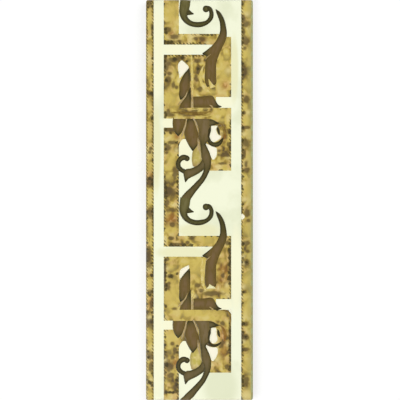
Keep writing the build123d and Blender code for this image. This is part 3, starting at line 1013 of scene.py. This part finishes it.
def cream_material(glazes):
    """Cream glaze with clouds and white, warm and shady blotches over the face and its rounded edge, and bare
    fired clay below it."""
    glaze = Glaze("cream_glaze_on_clay")
    clouds = glaze.between(glaze.noise(26, detail=4), 0.48, 0.68, 0.7)
    cream = glaze.blend(clouds, glazes.cream, glazes.cream_shade)
    for colour, blotches in ((glazes.cream_white, WHITE_BLOTCHES), (glazes.cream_warm, WARM_BLOTCHES),
                             (glazes.cream_shade, SHADY_BLOTCHES)):
        cream = glaze.blend(glaze.times(in_blotches(glaze, blotches), BLOTCH_STRENGTH), cream, colour)
    grains = glaze.noise(0.9, detail=5, roughness=0.7)
    clay = glaze.blend(glaze.between(grains, 0.45, 0.7), glazes.clay, glazes.clay_dark)
    runs = glaze.times(glaze.noise(7, detail=3), 1.6)
    glazed = glaze.between(glaze.plus(glaze.axis("Z"), runs), FACE_HEIGHT - 1.4, FACE_HEIGHT - 1.1)
    ripple = glaze.noise(3.5, detail=2)
    surface = glaze.node("ShaderNodeMix", {0: glazed, 2: grains, 3: ripple}).outputs[0]
    rough = glaze.ramp(glazed, 0.0, 1.0, MATT, GLOSSY)
    return glaze.finish(glaze.blend(glazed, clay, cream), rough, surface, 0.05)


def petal_material(glazes):
    """Warm white glaze of the petals, shaded to cream towards their outlines."""
    glaze = Glaze("petal_glaze")
    edge = glaze.times(glaze.mark("rim"), glaze.noise(2.0))
    colour = glaze.blend(edge, glazes.petal, glazes.cream_shade)
    return glaze.finish(colour, GLOSSY, glaze.noise(3.5, detail=2), 0.04)


def gold_material(glazes):
    """Marbled gold: umber, ochre and pale mottles on a ground between yellow gold and tan, even in the calm
    blotches, olive along the right edge, rusty, pale or burnt in other blotches, with dark beads and specks
    along the outlines and burnt spots."""
    glaze = Glaze("gold_marble_glaze")
    tints = glaze.between(glaze.noise(9, detail=1, offset=(21, 5, 0)), 0.45, 0.6)
    ground = glaze.blend(tints, glazes.gold, glazes.gold_tan)
    mottles = glaze.noise(6.5, detail=2.2, distortion=0.4, stretch=(1.0, 0.8, 1.0), turn=35)
    colour = glaze.blend(glaze.between(mottles, 0.33, 0.46), glazes.gold_umber, glazes.gold_ochre)
    colour = glaze.blend(glaze.between(mottles, 0.42, 0.54), colour, ground)
    colour = glaze.blend(glaze.between(mottles, 0.54, 0.68, 0.9), colour, glazes.gold_light)
    calm = glaze.times(glaze.mark("calm"), BLOTCH_STRENGTH)
    colour = glaze.blend(calm, colour, glazes.gold)
    olive = glaze.between(glaze.axis("X"), HALF_WIDTH - 6.0, HALF_WIDTH - 2.0, 0.6)
    colour = glaze.blend(olive, colour, glazes.gold_olive)
    patches = glaze.between(glaze.noise(4.5, detail=2, offset=(3, 40, 0)), 0.48, 0.64)
    rust = glaze.blend(patches, glazes.gold_rust, glazes.gold_peach)
    colour = glaze.blend(glaze.times(glaze.mark("rusty"), BLOTCH_STRENGTH), colour, rust)
    light = glaze.mark("light")
    colour = glaze.blend(glaze.times(light, BLOTCH_STRENGTH), colour, glazes.gold_light)
    frayed = glaze.minus(glaze.noise(3.0, detail=3, offset=(11, 3, 0)), 0.5)
    depth = glaze.plus(glaze.mark("burnt"), frayed)
    streaks = glaze.minus(glaze.plus(depth, 0.5), mottles)
    scorched = glaze.blend(glaze.between(streaks, 0.1, 0.8), glazes.gold_ochre, glazes.gold_umber)
    colour = glaze.blend(glaze.between(depth, 0.06, 0.72, 0.86), colour, scorched)
    lively = glaze.minus(1.0, glaze.most(light, glaze.times(calm, 0.55)))
    beaded = glaze.times(glaze.between(glaze.mark("beaded"), 0.1, 0.5, 0.9), lively)
    gathered = glaze.times(glaze.mark("rim"), glaze.plus(glaze.times(beaded, 0.1), 0.32))
    specks = glaze.plus(glaze.noise(2.3, detail=0, offset=(7, 7, 0)), gathered)
    dots = glaze.most(glaze.between(specks, 0.88, 0.98, 0.9), glaze.times(beads(glaze), beaded))
    ragged = glaze.minus(glaze.noise(1.6, detail=2, offset=(5, 9, 0)), 0.5)
    spots = glaze.between(glaze.plus(glaze.mark("spotted"), ragged), 0.32, 0.7, 0.84)
    colour = glaze.blend(glaze.most(dots, spots), colour, glazes.gold_burnt)
    rough = glaze.ramp(mottles, 0.3, 0.7, 0.3, GLOSSY)
    return glaze.finish(colour, rough, mottles, 0.05)


def shaded_edge_material(glazes):
    """Olive-grey glaze of the line on the right edge: painted shade of the slab's rounded right edge."""
    glaze = Glaze("painted_shade_edge_glaze")
    patches = glaze.between(glaze.noise(4, detail=3), 0.35, 0.65, 0.5)
    return glaze.finish(glaze.blend(patches, glazes.edge, glazes.gold_ochre), SATIN)


def shade_material(glazes):
    """Brown shadow that turns to rust in the rusty blotches, for the ring round the keyhole, the cut corner
    and the crease in the band."""
    glaze = Glaze("shade_glaze")
    patches = glaze.between(glaze.noise(3, detail=3), 0.4, 0.62, 0.6)
    colour = glaze.blend(patches, glazes.gold_shade, glazes.gold_ochre)
    colour = glaze.blend(glaze.times(glaze.mark("rusty"), 0.7), colour, glazes.gold_rust)
    return glaze.finish(colour, SATIN)


def pale_material(name, body, gaps, glazes):
    """Pale glaze of the thin lines and forks. The gold shows through in gaps and along their outlines."""
    glaze = Glaze(name)
    broken = glaze.between(glaze.noise(3, detail=3), 0.36, 0.56, gaps)
    colour = glaze.blend(broken, body, glazes.gold)
    edge = glaze.times(glaze.between(glaze.mark("rim"), 0.5, 1.0), 0.6)
    return glaze.finish(glaze.blend(edge, colour, glazes.gold), GLEAMING)


def tongue_material(glazes):
    """Yellow gold of the tongue, umber along its outline and brown where it comes from under the leaves."""
    glaze = Glaze("tongue_glaze")
    pale = glaze.between(glaze.noise(3.5, detail=3), 0.4, 0.7)
    colour = glaze.blend(pale, glazes.tongue, glazes.gold_light)
    colour = glaze.blend(glaze.times(glaze.mark("rim"), 0.5), colour, glazes.gold_umber)
    colour = glaze.blend(glaze.times(glaze.mark("slim"), 0.9), colour, glazes.tongue_root)
    return glaze.finish(colour, GLEAMING, pale, 0.03)


def brown_material(name, body, middle, glazes):
    """Brown glaze that pools: a lighter middle with streaks, olive where a stroke is slim or lies in a smoky
    blotch, and dark along the outline, with beads on the slim strokes."""
    glaze = Glaze(name)
    streaks = glaze.noise(4.0, detail=4, stretch=(1.6, 0.5, 1.0))
    light = glaze.times(glaze.between(glaze.mark("middle"), 0.2, 0.9), glaze.between(streaks, 0.3, 0.6))
    colour = glaze.blend(light, body, middle)
    slim = glaze.mark("slim")
    olive = glaze.times(glaze.most(slim, glaze.mark("smoky")), 0.9)
    colour = glaze.blend(olive, colour, glazes.brown_olive)
    uneven = glaze.plus(glaze.noise(2.2, detail=3), 0.1)
    pooled = glaze.times(glaze.mark("rim"), glaze.plus(uneven, slim))
    dark = glaze.most(glaze.between(pooled, 0.1, 1.3), glaze.times(beads(glaze), slim))
    colour = glaze.blend(dark, colour, glazes.brown_dark)
    feed(glaze.tree, glaze.shader, {"Specular IOR Level": 0.35})
    return glaze.finish(colour, SATIN, streaks, 0.05)


def vein_material(glazes):
    """Light tan veins, broken up a little so that the brown shows through."""
    glaze = Glaze("vein_glaze")
    broken = glaze.between(glaze.noise(2.0, detail=3), 0.4, 0.7, 0.6)
    return glaze.finish(glaze.blend(broken, glazes.vein, glazes.gold_ochre), SATIN, broken, 0.02)


class BORDERTILE_OT_slab(bpy.types.Operator):
    """Glaze the slab's face in cream and leave its sides and keyed back as fired clay"""

    bl_idname = "border_tile.slab"
    bl_label = "Glaze the slab"

    def execute(self, context):
        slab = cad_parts[SLAB]
        material = cream_material(context.scene.border_tile_glazes)
        for slot in slab.material_slots:
            slot.material = material
        return {"FINISHED"}


class BORDERTILE_OT_gold(bpy.types.Operator):
    """Lay the gold: the two edge bands and the key that runs between them"""

    bl_idname = "border_tile.gold"
    bl_label = "Lay the gold key and bands"

    def execute(self, context):
        sizes = context.scene.border_tile_sizes
        glazes = context.scene.border_tile_glazes
        material = gold_material(glazes)
        relief = sizes.gold_relief
        left = band_sheet(sizes.left_band / MM - HALF_WIDTH, -HALF_WIDTH, True, sizes)
        glaze_layer("left_gold_band", left, relief, sizes, material)
        outer = HALF_WIDTH - sizes.shaded_edge_width / MM
        right = band_sheet(outer - sizes.right_band / MM, outer, False, sizes)
        glaze_layer("right_gold_band", right, relief, sizes, material)
        # The line on the right edge is painted shade over the slab's rounded right edge
        line = band_sheet(outer, HALF_WIDTH, True, sizes)
        glaze_layer("right_edge_painted_shade", line, relief, sizes, shaded_edge_material(glazes))
        key = key_sheet(self.key_rectangles(), sizes)
        glaze_layer("gold_key", key, relief, sizes, material)
        corner = leaf_sheet("pocket corner", POCKET_CORNER)
        repeat_layers(context, "pocket_corner", corner, relief * (1 - OVERLAP_STEP), material)
        return {"FINISHED"}

    def key_rectangles(self):
        """The key's rectangles (left, right, near, far) in every repeat, from the one before the tile's far
        end on, cut off at the tile's ends."""
        rectangles = []
        for repeat in range(-1, REPEATS):
            far_end = HALF_LENGTH - repeat * REPEAT_STEP
            foot = (HORN_MIDDLE, PANEL_RIGHT, FOOT_RIGHT_TOPS[repeat], CHANNEL_TOP)
            for left, right, top, bottom in (*KEY_RECTANGLES, foot):
                near = max(far_end - bottom, -HALF_LENGTH)
                far = min(far_end - top, HALF_LENGTH)
                if near < far:
                    rectangles.append((left, right, near, far))
        return rectangles


class BORDERTILE_OT_petals(bpy.types.Operator):
    """Lay the cream petals that show between the leaves"""

    bl_idname = "border_tile.petals"
    bl_label = "Lay the cream petals"

    def execute(self, context):
        material = petal_material(context.scene.border_tile_glazes)
        relief = context.scene.border_tile_sizes.petal_relief
        petals = [leaves_sheet(leaves) for leaves in PETALS]
        repeat_layers(context, "cream_petals", petals, relief, material)
        return {"FINISHED"}


class BORDERTILE_OT_leaves(bpy.types.Operator):
    """Lay the brown leaves: the horn, the blade with its base, and the tulip"""

    bl_idname = "border_tile.leaves"
    bl_label = "Lay the brown leaves"

    def execute(self, context):
        glazes = context.scene.border_tile_glazes
        material = brown_material("brown_leaf_glaze", glazes.brown, glazes.brown_light, glazes)
        relief = context.scene.border_tile_sizes.leaf_relief
        feet = [leaf_sheet(name, leaf) for name, leaf in BLADE_FEET.items()]
        layers = {
            "horn_leaf": leaves_sheet(HORN_LEAVES),
            "tulip_leaf": leaves_sheet(TULIP_LEAVES),
            "blade_leaf": [joined([leaf_sheet("blade", blade), *feet]) for blade in BLADES],
        }
        for name, sheets in layers.items():
            repeat_layers(context, name, sheets, relief, material)
        return {"FINISHED"}


class BORDERTILE_OT_scrolls(bpy.types.Operator):
    """Lay the brown scrolls: the stem with its curls, and the bowl that it runs into"""

    bl_idname = "border_tile.scrolls"
    bl_label = "Lay the brown scrolls"

    def execute(self, context):
        glazes = context.scene.border_tile_glazes
        stem_glaze = brown_material("brown_stem_glaze", glazes.stem, glazes.stem_light, glazes)
        bowl_glaze = brown_material("olive_bowl_glaze", glazes.bowl, glazes.bowl_light, glazes)
        relief = context.scene.border_tile_sizes.leaf_relief
        stems = [joined([
            sheet_between(stroke_edges(CHEEK_STROKE)),
            *(leaf_sheet(name, leaf) for name, leaf in STEM_LEAVES.items()),
            sheet_between(stroke_edges(hook), open_start=True),
            *(sheet_between(stroke_edges(stroke)) for stroke in CURL_STROKES.values()),
            sheet_between(ball_edges(CURL_BALL)),
        ]) for hook in HOOKS]
        repeat_layers(context, "stem_scroll", stems, relief, stem_glaze)
        bowl = joined([
            sheet_between(stroke_edges(BOWL_STROKE), open_start=True),
            sheet_between(ball_edges(BOWL_BALL)),
            sheet_between(leaf_edges(BOWL_SPUR)),
        ])
        repeat_layers(context, "bowl_scroll", bowl, relief, bowl_glaze, BOWL_STEP)
        return {"FINISHED"}


class BORDERTILE_OT_veins(bpy.types.Operator):
    """Lay the gold tongue, the light veins and forks on the leaves, and pale and brown lines in the gold"""

    bl_idname = "border_tile.veins"
    bl_label = "Lay the veins and tongues"

    def execute(self, context):
        sizes = context.scene.border_tile_sizes
        glazes = context.scene.border_tile_glazes
        low, high = sizes.petal_relief, sizes.vein_relief
        tongues = [leaf_sheet("tongue", tongue) for tongue in TONGUES]
        repeat_layers(context, "gold_tongue", tongues, low, tongue_material(glazes))
        shades = [strokes_sheet((RING_STROKE, other)) for other in (CREASE_STROKE, CORNER_STROKE)]
        repeat_layers(context, "umber_shades", shades, low, shade_material(glazes))
        pale_gold = pale_material("pale_gold_glaze", glazes.gold_light, 0.8, glazes)
        pale = [strokes_sheet(strokes) for strokes in PALE_STROKES]
        repeat_layers(context, "pale_lines", pale, low, pale_gold)
        veins = strokes_sheet(VEIN_STROKES.values())
        repeat_layers(context, "leaf_veins", veins, high, vein_material(glazes))
        pale_cream = pale_material("pale_cream_glaze", glazes.cream_warm, 0.2, glazes)
        for repeat, glaze in enumerate((pale_gold, pale_cream)):
            fork = placed(leaf_sheet("fork", FORKS[repeat]), repeat * REPEAT_STEP)
            glaze_layer(f"horn_fork_{repeat + 1}", fork, high, sizes, glaze)
        return {"FINISHED"}


class BORDERTILE_OT_stage(bpy.types.Operator):
    """Set up the pale floor, the soft light and the camera that looks straight down"""

    bl_idname = "border_tile.stage"
    bl_label = "Set up the stage"

    def execute(self, context):
        stage = context.scene.border_tile_stage
        self.lay_floor(context, stage)
        self.hang_lamp(context, "key_lamp", KEY_LAMP_PLACE, stage.key_power)
        self.hang_lamp(context, "fill_lamp", FILL_LAMP_PLACE, stage.fill_power)
        self.light_sky(context, stage)
        self.place_camera(context, stage)
        context.scene.view_settings.view_transform = "Standard"
        return {"FINISHED"}

    def lay_floor(self, context, stage):
        """A square floor under the tile, a touch brighter to the camera so that it reads as white."""
        half = stage.floor_size / 2
        ground = slab_low.z - FLOOR_GAP * MM
        sides = np.array([-half, half])
        across, along = np.meshgrid(sides, sides)
        points = np.column_stack((across.ravel(), along.ravel(), np.full(4, ground)))
        mesh = bpy.data.meshes.new("floor")
        mesh.from_pydata(points.tolist(), [], grid_quads(2, 2).tolist())
        paint = Glaze("pale_floor")
        seen = paint.node("ShaderNodeLightPath").outputs["Is Camera Ray"]
        feed(paint.tree, paint.shader, {
            "Base Color": linear(stage.floor), "Roughness": MATT, "Specular IOR Level": 0.0,
            "Emission Color": WHITE, "Emission Strength": paint.times(seen, stage.floor_glow)})
        mesh.materials.append(paint.material)
        floor = bpy.data.objects.new("floor", mesh)
        context.scene.collection.objects.link(floor)

    def hang_lamp(self, context, name, place, power):
        """A square soft lamp that points at the tile."""
        lamp = bpy.data.lights.new(name, "AREA")
        lamp.energy = power
        lamp.size = LAMP_SIZE
        hung = bpy.data.objects.new(name, lamp)
        hung.location = place
        hung.rotation_euler = (-Vector(place)).to_track_quat("-Z", "Y").to_euler()
        context.scene.collection.objects.link(hung)

    def light_sky(self, context, stage):
        """Soft light from all around, brighter low down, which the camera sees as white."""
        world = bpy.data.worlds.new("studio")
        world.use_nodes = True
        tree = world.node_tree
        direction = add_node(tree, "ShaderNodeTexCoord").outputs["Generated"]
        height = add_node(tree, "ShaderNodeSeparateXYZ", {0: direction}).outputs["Z"]
        levels = {0: height, 1: 0.0, 2: 1.0, 3: stage.horizon, 4: stage.sky}
        light = add_node(tree, "ShaderNodeMapRange", levels).outputs["Result"]
        seen = add_node(tree, "ShaderNodeLightPath").outputs["Is Camera Ray"]
        levels = {0: seen, 1: 0.0, 2: 1.0, 3: light, 4: 1.0}
        strength = add_node(tree, "ShaderNodeMapRange", levels).outputs["Result"]
        feed(tree, tree.nodes["Background"], {"Color": WHITE, "Strength": strength})
        context.scene.world = world

    def place_camera(self, context, stage):
        """A long lens straight above the tile, as far off as makes the view length fill the picture."""
        lens = bpy.data.cameras.new("camera")
        lens.lens = stage.lens
        camera = bpy.data.objects.new("camera", lens)
        distance = stage.view_length * lens.lens / lens.sensor_width
        camera.location = (stage.view_offset, 0, slab_high.z + distance)
        context.scene.collection.objects.link(camera)
        context.scene.camera = camera


class BORDERTILE_PT_panel(bpy.types.Panel):
    """The tile's glazes, sizes and steps"""

    bl_idname = "BORDERTILE_PT_panel"
    bl_label = "Border tile"
    bl_space_type = "VIEW_3D"
    bl_region_type = "UI"
    bl_category = "Border tile"

    def draw(self, context):
        layout = self.layout
        for name, kind in GROUPS.items():
            box = layout.box()
            for value in kind.__annotations__:
                box.prop(getattr(context.scene, name), value)
        for step in STEPS:
            layout.operator(step.bl_idname)


GROUPS = {
    "border_tile_sizes": BorderTileSizes,
    "border_tile_glazes": BorderTileGlazes,
    "border_tile_stage": BorderTileStage,
}
STEPS = (
    BORDERTILE_OT_slab,
    BORDERTILE_OT_gold,
    BORDERTILE_OT_petals,
    BORDERTILE_OT_leaves,
    BORDERTILE_OT_scrolls,
    BORDERTILE_OT_veins,
    BORDERTILE_OT_stage,
)
CLASSES = (*GROUPS.values(), *STEPS, BORDERTILE_PT_panel)


def register():
    for cls in CLASSES:
        bpy.utils.register_class(cls)
    for name, kind in GROUPS.items():
        setattr(bpy.types.Scene, name, bpy.props.PointerProperty(type=kind))


def unregister():
    for name in GROUPS:
        delattr(bpy.types.Scene, name)
    for cls in reversed(CLASSES):
        bpy.utils.unregister_class(cls)


def main():
    register()
    bpy.ops.border_tile.slab()
    bpy.ops.border_tile.gold()
    bpy.ops.border_tile.petals()
    bpy.ops.border_tile.leaves()
    bpy.ops.border_tile.scrolls()
    bpy.ops.border_tile.veins()
    bpy.ops.border_tile.stage()


if __name__ == "__main__":
    main()
